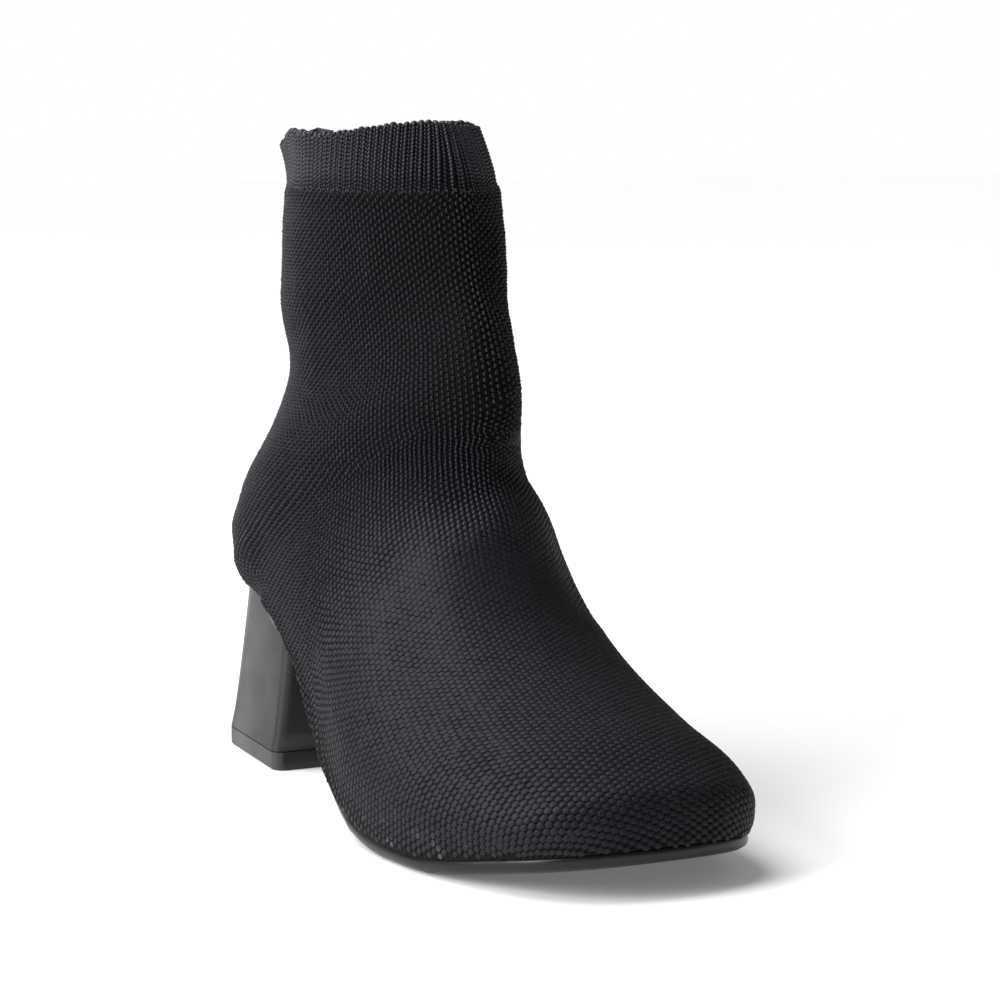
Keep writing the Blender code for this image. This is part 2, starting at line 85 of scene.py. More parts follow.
# %% A value on its way through a material
class Wire:
    def __init__(self, finish, socket):
        self.finish, self.socket = finish, socket

    def maths(self, operation, *terms):
        return self.finish.node("ShaderNodeMath", {"operation": operation}, dict(enumerate(terms)))

    def __add__(self, other):
        return self.maths("ADD", self, other)

    def __radd__(self, other):
        return self.maths("ADD", other, self)

    def __sub__(self, other):
        return self.maths("SUBTRACT", self, other)

    def __rsub__(self, other):
        return self.maths("SUBTRACT", other, self)

    def __mul__(self, other):
        return self.maths("MULTIPLY", self, other)

    def __rmul__(self, other):
        return self.maths("MULTIPLY", other, self)

    def cosine(self):
        return self.maths("COSINE", self)

    def limit(self):
        return self.maths("MINIMUM", self.maths("MAXIMUM", self, 0.0), 1.0)

# %% A finish
class Finish:
    def __init__(self, name, **constants):
        self.material = bpy.data.materials.new(name)
        self.material.use_nodes = True
        self.tree = self.material.node_tree
        self.shader = self.tree.nodes["Principled BSDF"]
        for socket, value in constants.items():
            self.shader.inputs[socket.replace("_", " ")].default_value = value

    def node(self, kind, settings=None, sockets=None, output=0):
        made = self.tree.nodes.new(kind)
        for key, value in (settings or {}).items():
            setattr(made, key, value)
        for key, value in (sockets or {}).items():
            if isinstance(value, Wire):
                self.tree.links.new(value.socket, made.inputs[key])
            else:
                made.inputs[key].default_value = value
        return Wire(self, made.outputs[output])

    def feed(self, socket, wire):
        self.tree.links.new(wire.socket, self.shader.inputs[socket])

    def place(self):
        return self.node("ShaderNodeTexCoord", output="Object")

    def map(self, name):
        return self.node("ShaderNodeUVMap", {"uv_map": name})

    def stretched(self, place, sizes):
        return self.node("ShaderNodeMapping", {}, {"Vector": place, "Scale": sizes})

    def noise(self, place, size, detail=3.0):
        return self.node("ShaderNodeTexNoise", {}, {"Vector": place, "Scale": 1 / size, "Detail": detail})

    def between(self, amount, low, high):
        return self.node("ShaderNodeMapRange", {"interpolation_type": "SMOOTHSTEP"},
                         {"Value": amount, "From Min": low, "From Max": high})

    def blend(self, share, first, second):
        sockets = {"Factor": share, 6: first, 7: second}
        return self.node("ShaderNodeMix", {"data_type": "RGBA"}, sockets, output=2)

    def bump(self, height, depth, strength=1.0):
        sockets = {"Height": height, "Distance": depth, "Strength": strength}
        self.feed("Normal", self.node("ShaderNodeBump", {}, sockets))

# %% [markdown]
# ## The sock
# The upper is knitted in one piece and pulled over the last, so it is one skin from the collar to the sole line.
# The solid's outer side already has that form in coarse steps: it is copied, its steps are smoothed out with a
# subdivision surface, and it gets its wall back at the end. Drawing it again from curves could only drift away from it.

# %% Copies of a solid, merged
def merged_copy(node):
    bm = bmesh.new()
    bm.from_mesh(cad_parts[node].data)
    bmesh.ops.remove_doubles(bm, verts=bm.verts, dist=1e-6)
    return bm

def reached_from(start, may_cross):
    found, waiting = {start}, [start]
    while waiting:
        for edge in waiting.pop().edges:
            new = [face for face in edge.link_faces if face not in found and may_cross(edge, face)]
            found.update(new)
            waiting.extend(new)
    return found

def new_object(name, mesh):
    piece = bpy.data.objects.new(name, mesh)
    bpy.context.collection.objects.link(piece)
    return piece

def mesh_from(bm, name):
    mesh = bpy.data.meshes.new(name)
    bm.to_mesh(mesh)
    bm.free()
    return mesh

# %% The outer side of the sock
sock = merged_copy("upper")
toe_face = max(sock.faces, key=lambda face: face.calc_center_median().x)
sharpest = math.radians(75)
seat_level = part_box("heel")[1].z
seat_front, seat_band, below_ankle, rim_level = 30 * mm, 6 * mm, 60 * mm, 180 * mm

def on_the_outside(edge, face):
    middle = face.calc_center_median()
    over_heel = middle.x < seat_front
    if edge.calc_face_angle() < sharpest:
        return over_heel or face.normal.z > -0.9
    at_seat = over_heel and abs(middle.z - seat_level) < seat_band
    return at_seat and (face.normal.z < -0.5 or face.normal.xy.dot(middle.xy) > 0)

outside = reached_from(toe_face, on_the_outside)
print("outer side", len(outside), "of", len(sock.faces), "faces")
bmesh.ops.delete(sock, geom=[face for face in sock.faces if face not in outside], context="FACES")
shortest_edge = 0.8 * mm
hem = [corner for corner in sock.verts if corner.co.z < below_ankle]
bmesh.ops.remove_doubles(sock, verts=hem, dist=shortest_edge)
bmesh.ops.join_triangles(sock, faces=sock.faces, angle_face_threshold=math.pi, angle_shape_threshold=math.pi)
four_sided = [face for face in sock.faces if len(face.verts) == 4]
print("after joining", len(sock.faces), "faces,", len(four_sided), "with four sides")

# %% Round off the heel seat
cup_front, cup_height, softenings = 28 * mm, 14 * mm, 5
cup = [corner for corner in sock.verts if corner.co.x < cup_front and corner.co.z < seat_level + cup_height]
for softening in range(softenings):
    bmesh.ops.smooth_vert(sock, verts=cup, factor=0.4, use_axis_x=True, use_axis_y=True, use_axis_z=True)
print("softened", len(cup), "corners of the heel cup")

# %% [markdown]
# ## Where the rows of stitches run
# A knit follows the leg down, turns over the instep and runs out to the toe. To lay stitches in that order the skin is
# flattened, as a pattern cutter would flatten it: one cut goes down the back, and a least-stretch unwrap does the rest.
# The flat map is then turned and scaled so that it reads in real metres, with its second axis up the leg.

# %% The cut down the back
def back_cut(bm):
    rim = [edge.verts[0] for edge in bm.edges if edge.is_boundary and edge.verts[0].co.z > rim_level]
    vertex, heading, cut = min(rim, key=lambda corner: corner.co.x), Vector((0, 0, -1)), []
    while not (cut and any(edge.is_boundary for edge in vertex.link_edges)):
        ways = [((edge.other_vert(vertex).co - vertex.co).normalized(), edge)
                for edge in vertex.link_edges if not edge.is_boundary and edge not in cut]
        heading, edge = max(ways, key=lambda way: way[0].dot(heading))
        cut.append(edge)
        vertex = edge.other_vert(vertex)
    return cut

for edge in back_cut(sock):
    edge.seam = True
print("cut", round(sum(edge.calc_length() for edge in sock.edges if edge.seam) / mm), "mm long")

# %% Unwrap the coarse skin
sock_piece = new_object("knit_skin", mesh_from(sock, "knit_skin"))
MAP = "OFBake"
sock_piece.data.uv_layers.new(name=MAP)
bpy.context.view_layer.objects.active = sock_piece
sock_piece.select_set(True)
bpy.ops.object.mode_set(mode="EDIT")
bpy.ops.mesh.select_all(action="SELECT")
bpy.ops.uv.unwrap(method="MINIMUM_STRETCH", no_flip=True, iterations=30, margin=0.0)
bpy.ops.object.mode_set(mode="OBJECT")
print("unwrapped", len(sock_piece.data.polygons), "faces")

# %% Arrays of a mesh
def spots(mesh):
    found = np.empty(len(mesh.vertices) * 3)
    mesh.vertices.foreach_get("co", found)
    return found.reshape(-1, 3)

def facing(mesh):
    found = np.empty(len(mesh.vertices) * 3, np.float32)
    mesh.vertex_normals.foreach_get("vector", found)
    return found.reshape(-1, 3)

def flat_map(mesh):
    found = np.empty(len(mesh.loops) * 2, np.float32)
    mesh.uv_layers[MAP].uv.foreach_get("vector", found)
    return found.reshape(-1, 2)

def triangles(mesh):
    mesh.calc_loop_triangles()
    corners, loops = np.empty((2, len(mesh.loop_triangles) * 3), int)
    mesh.loop_triangles.foreach_get("vertices", corners)
    mesh.loop_triangles.foreach_get("loops", loops)
    return corners.reshape(-1, 3), loops.reshape(-1, 3)

# %% [markdown]
# The flat map is true in size, but a leg that widens fans out when it is laid flat, and its columns would lean. On the
# real boot they stand upright down the leg and the heel's side, and only over the instep do they turn towards the toe.
# So every edge of the skin says which step it should take in the map: straight up or across on leg and heel, as
# unwrapped on the foot. The map that fits all those steps best is one set of linear equations.

# %% Turn the unwrapped map upright and give it metres
def areas(mesh, flat):
    """The mesh's own area and its area in the flat map."""
    points = spots(mesh)
    corners, loops = triangles(mesh)
    sides = points[corners[:, 1:]] - points[corners[:, :1]]
    real_area = np.linalg.norm(np.cross(sides[:, 0], sides[:, 1]), axis=1).sum() / 2
    return real_area, np.abs(np.linalg.det(flat[loops[:, 1:]] - flat[loops[:, :1]])).sum() / 2

shin_low, shin_high, shin_front = 90 * mm, 170 * mm, 70 * mm

def in_metres(mesh):
    points, flat = spots(mesh), flat_map(mesh).astype(float)
    corners, loops = triangles(mesh)
    real_area, map_area = areas(mesh, flat)
    middles = points[corners].mean(1)
    shin = (middles[:, 2] > shin_low) & (middles[:, 2] < shin_high) & (middles[:, 0] > shin_front)
    sheet = np.c_[flat[loops].mean(1), np.ones(len(loops))]
    climb = np.linalg.lstsq(sheet[shin], middles[shin, 2], rcond=None)[0][:2]
    u, v = climb / np.linalg.norm(climb)
    return (flat - flat.mean(0)) @ np.array([[v, u], [-u, v]]) * math.sqrt(real_area / map_area)

def eased(amount):
    share = np.clip(amount, 0, 1)
    return share * share * (3 - 2 * share)

# %% Straighten the columns
leg_low, leg_full, heel_front, heel_full = 80 * mm, 110 * mm, 90 * mm, 40 * mm
steep_enough = 0.35

def upright_share(middle):
    leg = eased((middle.z - leg_low) / (leg_full - leg_low))
    heel = eased((heel_front - middle.x) / (heel_front - heel_full))
    return max(leg, heel)

def straightened(mesh):
    points, flat = spots(mesh), in_metres(mesh)
    keys, loop_spot = {}, np.empty(len(mesh.loops), int)
    for number, loop in enumerate(mesh.loops):
        key = (loop.vertex_index, *np.round(flat[number], 6))
        loop_spot[number] = keys.setdefault(key, len(keys))
    size = len(keys)
    pull, wanted = np.zeros((size, size)), np.zeros((size, 2))
    for face in mesh.polygons:
        up = Vector((0, 0, 1)) - face.normal * face.normal.z
        upright = upright_share(face.center) if up.length > steep_enough else 0.0
        up.normalize()
        frame_axes = np.array([up.cross(face.normal)[:], up[:]])
        loops = list(face.loop_indices)
        for one, two in zip(loops, loops[1:] + loops[:1]):
            real_step = points[mesh.loops[two].vertex_index] - points[mesh.loops[one].vertex_index]
            step = upright * (frame_axes @ real_step) + (1 - upright) * (flat[two] - flat[one])
            a, b = loop_spot[one], loop_spot[two]
            pull[a, a] += 1
            pull[b, b] += 1
            pull[a, b] -= 1
            pull[b, a] -= 1
            wanted[a] -= step
            wanted[b] += step
    pull[0, 0] += 1
    return np.linalg.solve(pull, wanted)[loop_spot]

straight_map = straightened(sock_piece.data)
sock_piece.data.uv_layers[MAP].uv.foreach_set("vector", straight_map.astype(np.float32).ravel())
print("straightened", np.round(np.ptp(straight_map, axis=0) / mm), "mm")

# %% Smooth the steps out
def with_modifier(piece, kind, **settings):
    modifier = piece.modifiers.new(kind.title(), kind)
    for key, value in settings.items():
        setattr(modifier, key, value)
    finer = bpy.data.meshes.new_from_object(piece.evaluated_get(bpy.context.evaluated_depsgraph_get()))
    piece.modifiers.clear()
    piece.data = finer
    return piece

def subdivided(mesh):
    trial = new_object("trial", mesh.copy())
    finer = with_modifier(trial, "SUBSURF", levels=2, render_levels=2).data
    bpy.data.objects.remove(trial)
    return finer

coarse_spots, corrections, correction = spots(sock_piece.data), 3, 0.9
for pull in range(corrections):
    drawn_in = coarse_spots - spots(subdivided(sock_piece.data))[:len(coarse_spots)]
    pulled_out = spots(sock_piece.data) + drawn_in * correction
    sock_piece.data.vertices.foreach_set("co", pulled_out.astype(np.float32).ravel())
    print("drawn in by", round(np.linalg.norm(drawn_in, axis=1).max() / mm, 2), "mm at most")
sock_piece.data = subdivided(sock_piece.data)
sock_piece.data.shade_smooth()
print("skin", len(sock_piece.data.polygons), "faces")

# %% [markdown]
# ## Creases
# An empty sock on a last is never quite smooth: it is pinched where it turns from leg to foot, it sags into a dip above
# the heel, and the flattened leg has a ridge down its shin. Each crease is a short line on the boot, in millimetres,
# with a width and a height, and the skin near that line is moved in or out along its own normals.

# %% Lines of the creases
creases = {
    "shin ridge": (11, 3.2, [(79, 20, 168), (83, 18, 152), (91, 15, 135), (98, 13, 118), (101, 12, 104)]),
    "shin edge": (3.5, 0.8, [(80, 15, 167), (82, 13, 155), (85, 12, 144),
                             (94, 9, 130), (99, 8, 117), (100, 8, 103)]),
    "dip above heel": (8, -1.0, [(-8, 0, 119), (5, -14, 118), (29, -23, 117),
                                 (53, -23, 117), (75, -18, 119)]),
    "dip inside": (8, -0.8, [(-8, 0, 119), (5, 14, 118), (29, 23, 117), (53, 23, 116)]),
    "dip in the leg": (10, -0.9, [(34, -25, 153), (55, -23, 154), (68, -17, 157)]),
    "ankle trough": (9, -1.5, [(97, -21, 80), (107, -23, 67), (117, -25, 55), (131, -29, 44)]),
    "ankle trough inside": (9, -1.2, [(97, 24, 80), (107, 27, 67), (117, 30, 55)]),
    "instep crease": (4.5, -0.8, [(100, 14, 100), (106, 2, 93), (101, -12, 86)]),
    "under the cuff": (4, -0.5, [(0, -20, 170), (43, -25, 170), (68, -18, 171),
                                 (84, -3, 172), (83, 13, 172), (60, 26, 171)]),
}

def along_line(points, line):
    """How far each point is from the line, and how far along the line its nearest place lies, from 0 to 1."""
    nearest, reach = np.full(len(points), np.inf), np.zeros(len(points))
    for number, (start, end) in enumerate(zip(line, line[1:])):
        way = end - start
        share = np.clip((points - start) @ way / (way @ way), 0, 1)
        distance = np.linalg.norm(points - start - share[:, None] * way, axis=1)
        closer = distance < nearest
        nearest[closer], reach[closer] = distance[closer], (number + share[closer]) / (len(line) - 1)
    return nearest, reach

def hill(distance, width):
    """A soft rise: 1 at no distance, and next to nothing from twice the width on."""
    return np.exp(-(distance / width) ** 2)

fading_end, height_at_end = 0.25, 0.25

def creased(points, normals):
    moved = np.zeros(len(points))
    for width, height, line in creases.values():
        distance, reach = along_line(points / mm, np.array(line, float))
        fade = np.sin(np.clip(np.minimum(reach, 1 - reach) / fading_end, 0, 1) * math.pi / 2)
        moved += height * mm * hill(distance, width) * (height_at_end + (1 - height_at_end) * fade)
    return points + normals * moved[:, None]

def place(mesh, points):
    mesh.vertices.foreach_set("co", points.astype(np.float32).ravel())
    mesh.update()

place(sock_piece.data, creased(spots(sock_piece.data), facing(sock_piece.data)))
print("creases", ", ".join(creases))

# %% [markdown]
# ## The edges of the sock
# A worn collar is not a level ring. It dips at the back, where the boot is pulled on, and sags a little at the side.
# Below, the knit is drawn down onto the sole and swells over its edge, and at the heel it tapers in over the top of
# the block, because it is nailed under the seat there. All four are gentle moves of points that lie near an edge.

# %% The rim dips at the back and sags at the side
rim_dip, rim_sag = 4.6 * mm, 1.3 * mm
collar_low, collar_height = 166 * mm, 28 * mm
dip_front, dip_blend = 32 * mm, 12 * mm
sag_middle, sag_width, sag_edge = 52 * mm, 14 * mm, 10 * mm

def rim_lowered(points, dip):
    at_top = eased((points[:, 2] - collar_low) / collar_height)
    at_back = eased((dip_front - points[:, 0]) / dip_blend)
    at_side = hill(points[:, 0] - sag_middle, sag_width) * eased((sag_edge - points[:, 1]) / (2 * sag_edge))
    points[:, 2] -= at_top * (dip * at_back + rim_sag * at_side)

# %% The heel cup tapers onto the block
cup_drop, cup_taper, cup_swell = 3.5 * mm, 3.0 * mm, 1.5 * mm
cup_widest, swell_reach, cup_blend = 67 * mm, 8 * mm, 16 * mm

def cup_tapered(points):
    at_heel = eased((seat_front - points[:, 0]) / cup_blend)
    share = eased((seat_level + cup_height - points[:, 2]) / cup_height) * at_heel
    swell = cup_swell * hill(points[:, 2] - cup_widest, swell_reach) * at_heel
    outwards = points[:, :2] / np.linalg.norm(points[:, :2], axis=1)[:, None]
    points[:, :2] += outwards * (swell - cup_taper * share ** 2)[:, None]
    points[:, 2] -= cup_drop * share

# %% The lasted edge swells over the sole and is drawn down onto it
lasted_swell, swell_width = 1.6 * mm, 4 * mm
lasted_drop, drop_width = 0.9 * mm, 2 * mm
farthest = 9 * mm
sole_hull = BVHTree.FromPolygons([corner.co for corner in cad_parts["outsole"].data.vertices],
                                 [face.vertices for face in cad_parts["outsole"].data.polygons])

def lasted(points, normals):
    for number in np.flatnonzero(points[:, 2] < below_ankle):
        distance = sole_hull.find_nearest(Vector(points[number]), farthest)[3]
        if distance is not None:
            points[number, :2] += normals[number, :2] * lasted_swell * hill(distance, swell_width)
            points[number, 2] -= lasted_drop * hill(distance, drop_width)

# %% Fair the lower edge, then move all the edges
hem_rings, hem_passes = 2, 6

def lower_edge_faired(mesh):
    bm = bmesh.new()
    bm.from_mesh(mesh)
    edges = [edge for edge in bm.edges if edge.is_boundary and edge.verts[0].co.z < below_ankle]
    near = {corner for edge in edges for corner in edge.verts}
    for ring in range(hem_rings):
        near |= {edge.other_vert(corner) for corner in near for edge in corner.link_edges}
    hem = [corner for corner in bm.verts if corner in near]
    for smoothing in range(hem_passes):
        bmesh.ops.smooth_vert(bm, verts=hem, factor=0.5, use_axis_x=True, use_axis_y=True, use_axis_z=True)
    bm.to_mesh(mesh)
    bm.free()

edge_spots = spots(sock_piece.data)
rim_lowered(edge_spots, rim_dip)
cup_tapered(edge_spots)
lasted(edge_spots, facing(sock_piece.data))
place(sock_piece.data, edge_spots)
lower_edge_faired(sock_piece.data)
print("rim lowered", rim_dip / mm, "mm at the back, heel cup drawn in", cup_taper / mm, "mm")

# %% The flat map in metres
skin_map = flat_map(sock_piece.data)
knit_map = skin_map - skin_map.mean(0)
skin_area, map_area = areas(sock_piece.data, knit_map)
print("map scale", round(math.sqrt(map_area / skin_area), 3))
print("flat knit", np.round(np.ptp(knit_map, axis=0) / mm), "mm, area", round(skin_area * 1e4), "cm2")

# %% Find a place on the skin from its place in the flat map
class Skin:
    def __init__(self, mesh, flat):
        self.places, self.normals, self.flat = spots(mesh), facing(mesh), flat
        self.corners, self.loops = triangles(mesh)
        flat_3d = np.c_[flat, np.zeros(len(flat))]
        self.finder = BVHTree.FromPolygons(flat_3d.tolist(), self.loops.tolist())
        self.hull = BVHTree.FromPolygons(self.places.tolist(), self.corners.tolist())

    def lift(self, index, values, place):
        return barycentric_transform(place, *(Vector((*self.flat[loop], 0)) for loop in self.loops[index]),
                                     *(Vector(values[corner]) for corner in self.corners[index]))

    def at(self, u, v):
        place = Vector((u, v, 0))
        _, _, index, distance = self.finder.find_nearest(place)
        if distance > 0.05 * mm:
            return None
        here = self.lift(index, self.places, place)
        along = self.lift(index, self.places, place + Vector((0, mm, 0))) - here
        return here, self.lift(index, self.normals, place).normalized(), along.normalized()

skin = Skin(sock_piece.data, knit_map)
print("skin ready", len(skin.corners), "triangles")

# %% [markdown]
# ## Stitches
# Up close the knit is a field of small slanted loops in staggered columns, with a dark pinhole between four of them.
# Thousands of them make the grain that one sees and feels, so they are real: one low nub, instanced on a point for each
# loop, with the instances realized into one mesh. Only the thin bridges between the loops are left to a bump.

# %% One stitch
def stitch_mesh(name, around, rings):
    bm = bmesh.new()
    bmesh.ops.create_uvsphere(bm, u_segments=around, v_segments=rings, radius=1)
    bmesh.ops.bisect_plane(bm, geom=bm.verts[:] + bm.edges[:] + bm.faces[:], dist=1e-5, plane_co=(0, 0, 0.02),
                           plane_no=(0, 0, -1), clear_outer=True)
    mesh = mesh_from(bm, name)
    mesh.shade_smooth()
    return mesh

low_stitch = stitch_mesh("stitch", around=6, rings=4)
print("a stitch has", sum(len(face.vertices) - 2 for face in low_stitch.polygons), "triangles")

# %% Set stitches on points
def stitched(name, places, outs, ups, leans, sizes, flats, mesh=low_stitch):
    points = bpy.data.meshes.new(name + "_points")
    points.vertices.add(len(places))
    points.vertices.foreach_set("co", np.asarray(places, np.float32).ravel())
    for key, values in (("out", outs), ("up", ups), ("size", sizes)):
        attribute = points.attributes.new(key, "FLOAT_VECTOR", "POINT")
        attribute.data.foreach_set("vector", np.asarray(values, np.float32).ravel())
    attribute = points.attributes.new("lean", "FLOAT", "POINT")
    attribute.data.foreach_set("value", np.asarray(leans, np.float32))
    piece = new_object(name, points)
    model = new_object(name + "_model", mesh)
    tree = bpy.data.node_groups.new(name, "GeometryNodeTree")
    tree.interface.new_socket("Geometry", in_out="INPUT", socket_type="NodeSocketGeometry")
    tree.interface.new_socket("Geometry", in_out="OUTPUT", socket_type="NodeSocketGeometry")

    def node(kind, settings=None, sockets=None):
        made = tree.nodes.new(kind)
        for key, value in (settings or {}).items():
            setattr(made, key, value)
        for key, value in (sockets or {}).items():
            if isinstance(value, bpy.types.NodeSocket):
                tree.links.new(value, made.inputs[key])
            else:
                made.inputs[key].default_value = value
        return made

    def kept(key, kind="FLOAT_VECTOR"):
        reader = node("GeometryNodeInputNamedAttribute", {"data_type": kind}, {"Name": key})
        return reader.outputs["Attribute"]

    upright = node("FunctionNodeAlignRotationToVector", {"axis": "Z"}, {"Vector": kept("out")})
    turned = node("FunctionNodeAlignRotationToVector", {"axis": "Y", "pivot_axis": "Z"},
                  {"Rotation": upright.outputs[0], "Vector": kept("up")})
    slant = node("FunctionNodeAxisAngleToRotation", {}, {"Axis": (0, 0, 1), "Angle": kept("lean", "FLOAT")})
    leaned = node("FunctionNodeRotateRotation", {"rotation_space": "LOCAL"},
                  {0: turned.outputs[0], 1: slant.outputs[0]})
    shape = node("GeometryNodeObjectInfo", {}, {"Object": model})
    start = node("NodeGroupInput")
    set_out = node("GeometryNodeInstanceOnPoints", {},
                   {"Points": start.outputs[0], "Instance": shape.outputs["Geometry"],
                    "Rotation": leaned.outputs[0], "Scale": kept("size")})
    real = node("GeometryNodeRealizeInstances", {}, {"Geometry": set_out.outputs[0]})
    node("NodeGroupOutput", {}, {0: real.outputs[0]})
    with_modifier(piece, "NODES", node_group=tree)
    bpy.data.objects.remove(model)
    lay_flat(piece.data, np.asarray(flats), np.asarray(leans), np.asarray(sizes), spots(mesh)[:, :2])
    return piece

def lay_flat(mesh, flats, leans, sizes, shape):
    """Each stitch's own patch of the flat map, so that a finish can follow the knit."""
    x, y = shape[:, 0] * sizes[:, :1], shape[:, 1] * sizes[:, 1:2]
    cos, sin = np.cos(leans)[:, None], np.sin(leans)[:, None]
    points = np.stack((flats[:, :1] + x * cos - y * sin, flats[:, 1:] + x * sin + y * cos), 2).reshape(-1, 2)
    corners = np.empty(len(mesh.loops), int)
    mesh.loops.foreach_get("vertex_index", corners)
    layer = mesh.uv_layers.get(MAP) or mesh.uv_layers.new(name=MAP)
    layer.uv.foreach_set("vector", in_bake(points[corners]).astype(np.float32).ravel())

# %% The flat map fitted into a square for baking
map_low, map_high = knit_map.min(0) - 2 * mm, knit_map.max(0) + 2 * mm
map_side = (map_high - map_low).max()

def in_bake(flat):
    return (flat - map_low) / map_side

sock_piece.data.uv_layers[MAP].uv.foreach_set("vector", in_bake(knit_map).astype(np.float32).ravel())
print("map side", round(map_side / mm), "mm")

# %% Lay out the columns
column_pitch, row_pitch = 1.5 * mm, 2.0 * mm
column_spread, row_spread = 0.05 * mm, 0.06 * mm
cuff_level, free_of_sole = 175 * mm, 0.8 * mm
turned_under, turned_under_heel = -0.45, -0.80
rng = np.random.default_rng(7)

def knit_points():
    columns = np.arange(math.ceil(map_low[0] / column_pitch), math.floor(map_high[0] / column_pitch) + 1)
    rows = np.arange(math.ceil(map_low[1] / row_pitch), math.floor(map_high[1] / row_pitch) + 1)
    found = []
    for column in columns:
        for row in rows:
            u, v = column * column_pitch, (row + (column % 2) / 2) * row_pitch
            u, v = u + rng.normal(0, column_spread), v + rng.normal(0, row_spread)
            here = skin.at(u, v)
            if not here or here[0].z > cuff_level:
                continue
            lowest = turned_under_heel if here[0].x < seat_front else turned_under
            if here[1].z >= lowest and sole_hull.find_nearest(here[0])[3] > free_of_sole:
                found.append((*here, (u, v)))
    return found

loops_of_knit = knit_points()
print("stitches", len(loops_of_knit))

# %% Knit them in two fields
open_stitch = np.array([0.46, 0.86, 0.70]) * mm
pulled_stitch = np.array([1.12, 0.90, 0.20]) * mm
open_lean, further_lean, lean_spread, size_spread = -9, 4, 0.10, 0.06
vamp_start, vamp_full, vamp_low, vamp_top = 60 * mm, 110 * mm, 70 * mm, 105 * mm
sole_near, sole_blend, flattened_at_sole = 1 * mm, 4 * mm, (0.15, 0.15, 0.55)
taper_length, left_at_cuff = 5 * mm, 0.8

def share_at_sole(places):
    distances = np.array([sole_hull.find_nearest(Vector(spot))[3] for spot in places])
    return 1 - eased((distances - sole_near) / sole_blend)

def knit_field(name, chosen):
    places, outs, ups, flats = zip(*chosen)
    x, _, z = np.array(places).T
    forward = eased((x - vamp_start) / (vamp_full - vamp_start))
    pulled = forward * eased((vamp_top - z) / (vamp_top - vamp_low))
    away_from_cuff = eased((cuff_level - z) / taper_length)
    leans = np.radians(open_lean) - np.radians(further_lean) * pulled + rng.normal(0, lean_spread, len(x))
    sizes = open_stitch + (pulled_stitch - open_stitch) * pulled[:, None]
    sizes = sizes * (left_at_cuff + (1 - left_at_cuff) * away_from_cuff)[:, None]
    sizes = sizes * rng.normal(1, size_spread, (len(x), 1))
    sizes = sizes * (1 - np.outer(share_at_sole(places), flattened_at_sole))
    return stitched(name, places, outs, ups, leans, sizes, flats)

leg_level = 72 * mm
knit_leg = knit_field("knit_leg", [loop for loop in loops_of_knit if loop[0].z > leg_level])
knit_foot = knit_field("knit_foot", [loop for loop in loops_of_knit if loop[0].z <= leg_level])
for piece in (knit_leg, knit_foot):
    print(piece.name, sum(len(face.vertices) - 2 for face in piece.data.polygons), "triangles")

# %% [markdown]
# ## The rib cuff
# The collar is a rib: narrow proud wales stand between broader columns of short slanted loops, and all of them run from
# the rim down to the cuff's last row. Each wale is walked down the skin from the rim, a small step at a time, and
# a row of small stitches is set on it. The rim itself is cast off, so it ends in a round bump over every wale.

# %% The rim, as evenly spaced points
def rim_ring(mesh, pitch):
    bm = bmesh.new()
    bm.from_mesh(mesh)
    bmesh.ops.remove_doubles(bm, verts=bm.verts, dist=1e-6)
    edges = [edge for edge in bm.edges if edge.is_boundary and edge.verts[0].co.z > rim_level]
    first = min((vertex for edge in edges for vertex in edge.verts), key=lambda corner: corner.co.x)
    ring, used, vertex = [first.co.copy()], set(), first
    while True:
        ways = [edge for edge in vertex.link_edges if edge in edges and edge not in used]
        if not ways:
            break
        used.add(ways[0])
        vertex = ways[0].other_vert(vertex)
        ring.append(vertex.co.copy())
    bm.free()
    ring = np.array(ring)
    reach = np.r_[0, np.cumsum(np.linalg.norm(np.diff(ring, axis=0), axis=1))]
    count = round(reach[-1] / pitch)
    even = np.arange(count) / count * reach[-1]
    return np.stack([np.interp(even, reach, ring[:, axis]) for axis in range(3)], 1)

wale_pitch = 2.1 * mm
rim = rim_ring(sock_piece.data, wale_pitch)
print("wales", len(rim))

# %% Walk down the cuff
def walk_down(start, step, drift):
    place, steps = Vector(start), []
    while place.z > cuff_level - 1 * mm:
        here, out, _, _ = skin.hull.find_nearest(place)
        across = out.cross(Vector((0, 0, 1))).normalized()
        steps.append((here, out, (Vector((0, 0, 1)) - out * out.z).normalized()))
        place = here - Vector((0, 0, step)) + across * drift * step
    return steps

rib_step, rib_lean_spread, left_at_edge = 1.15 * mm, 0.06, 0.7

def rib_column(start, slope, lean, size):
    column, phase = [], Vector((0, 0, rng.uniform(0, rib_step)))
    for here, out, up in walk_down(Vector(start) - phase, rib_step, slope):
        share = float(eased((here.z - cuff_level) / taper_length))
        taper = left_at_edge + (1 - left_at_edge) * share
        column.append((here, out, up, lean + rng.normal(0, rib_lean_spread), size * taper))
    return column

wale_stitch, wale_lean = np.array([0.50, 0.84, 0.68]) * mm, math.radians(-38)
valley_stitch, valley_lean = np.array([0.34, 0.62, 0.42]) * mm, math.radians(34)
steepest, slope_reach = 0.35, 42 * mm

def cuff_stitches():
    found, count = [], len(rim)
    for number, start in enumerate(rim):
        halfway = (start + rim[(number + 1) % count]) / 2
        slope = steepest * hill(start[0] - rim[:, 0].min(), slope_reach)
        found += rib_column(start, slope, wale_lean, wale_stitch)
        found += rib_column(halfway, slope, valley_lean, valley_stitch)
    return found

places, outs, ups, leans, sizes = zip(*cuff_stitches())
cuff_rib = stitched("cuff_rib", places, outs, ups, leans, sizes, np.zeros((len(places), 2)))
print("cuff stitches", len(places))

